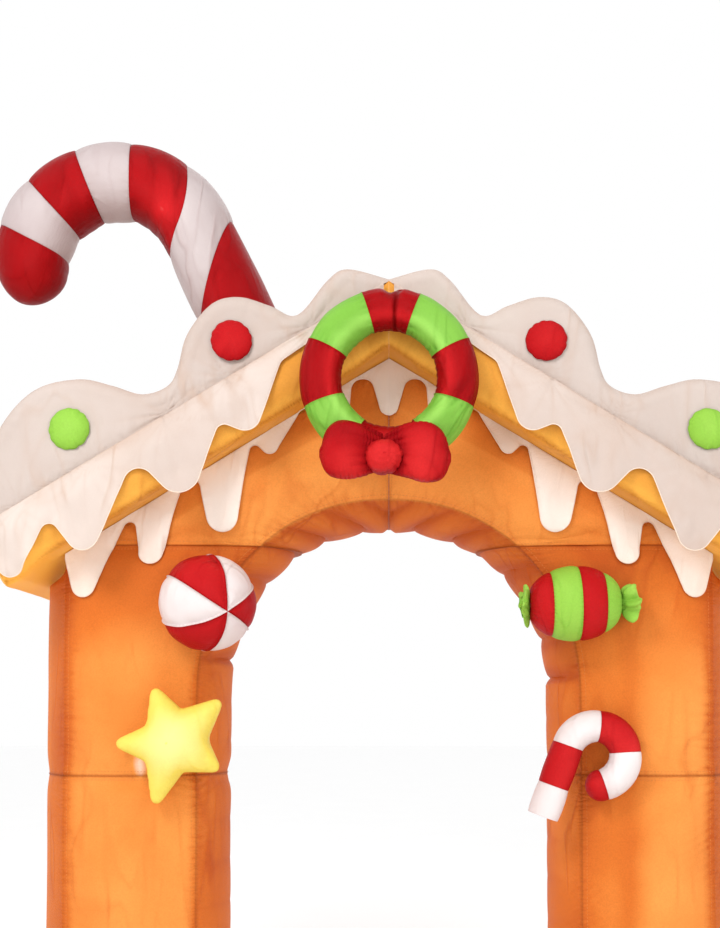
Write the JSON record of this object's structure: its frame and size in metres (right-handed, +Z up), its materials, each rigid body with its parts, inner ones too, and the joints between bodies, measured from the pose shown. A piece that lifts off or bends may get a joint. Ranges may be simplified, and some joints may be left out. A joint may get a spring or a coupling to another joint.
{
  "type": "inflatable arch",
  "caption": "Inflatable archway shaped like the front of a gingerbread house, with dripping white icing, a wreath with a bow, striped canes and padded sweets.",
  "frame": {"origin": "on the floor, below the middle of the whole arch's box", "axes": "+Z up, +X to the right of someone who faces the decorated front, +Y from the front to the back"},
  "size_m": [3.2761, 1.2188, 3.7095],
  "materials": {
    "orange_nylon": "satin woven nylon",
    "amber_nylon": "satin woven nylon",
    "white_nylon": "satin woven nylon",
    "red_nylon": "satin woven nylon",
    "green_nylon": "satin woven nylon",
    "yellow_nylon": "satin woven nylon"
  },
  "bodies": {
    "root": {"bow_knot": "red_nylon", "bow_lobe_left": "red_nylon", "bow_lobe_right": "red_nylon", "gable_left": "orange_nylon", "gable_right": "orange_nylon", "green_dot_left": "green_nylon", "green_dot_right": "green_nylon", "icing_apron_left": "white_nylon", "icing_apron_right": "white_nylon", "icing_fin_left": "white_nylon", "icing_fin_right": "white_nylon", "large_cane_stripe_1": "red_nylon", "large_cane_stripe_2": "white_nylon", "large_cane_stripe_3": "red_nylon", "large_cane_stripe_4": "white_nylon", "large_cane_stripe_5": "red_nylon", "large_cane_stripe_6": "white_nylon", "large_cane_stripe_7": "red_nylon", "leg_base_left": "orange_nylon", "leg_base_right": "orange_nylon", "leg_left": "orange_nylon", "leg_right": "orange_nylon", "mint_gore_1": "red_nylon", "mint_gore_2": "white_nylon", "mint_gore_3": "red_nylon", "mint_gore_4": "white_nylon", "mint_gore_5": "red_nylon", "mint_gore_6": "white_nylon", "red_dot_left": "red_nylon", "red_dot_right": "red_nylon", "roof_slab_left": "amber_nylon", "roof_slab_right": "amber_nylon", "small_cane_stripe_1": "white_nylon", "small_cane_stripe_2": "red_nylon", "small_cane_stripe_3": "white_nylon", "small_cane_stripe_4": "red_nylon", "small_cane_stripe_5": "white_nylon", "small_cane_stripe_6": "red_nylon", "star": "yellow_nylon", "sweet_frill_left": "green_nylon", "sweet_frill_right": "green_nylon", "sweet_stripe_1": "red_nylon", "sweet_stripe_2": "green_nylon", "sweet_stripe_3": "red_nylon", "sweet_stripe_4": "green_nylon", "wall_icing_left": "white_nylon", "wall_icing_right": "white_nylon", "wreath_1": "red_nylon", "wreath_2": "green_nylon", "wreath_3": "red_nylon", "wreath_4": "green_nylon", "wreath_5": "red_nylon", "wreath_6": "green_nylon", "wreath_7": "red_nylon", "wreath_8": "green_nylon"}
  },
  "joints": []
}
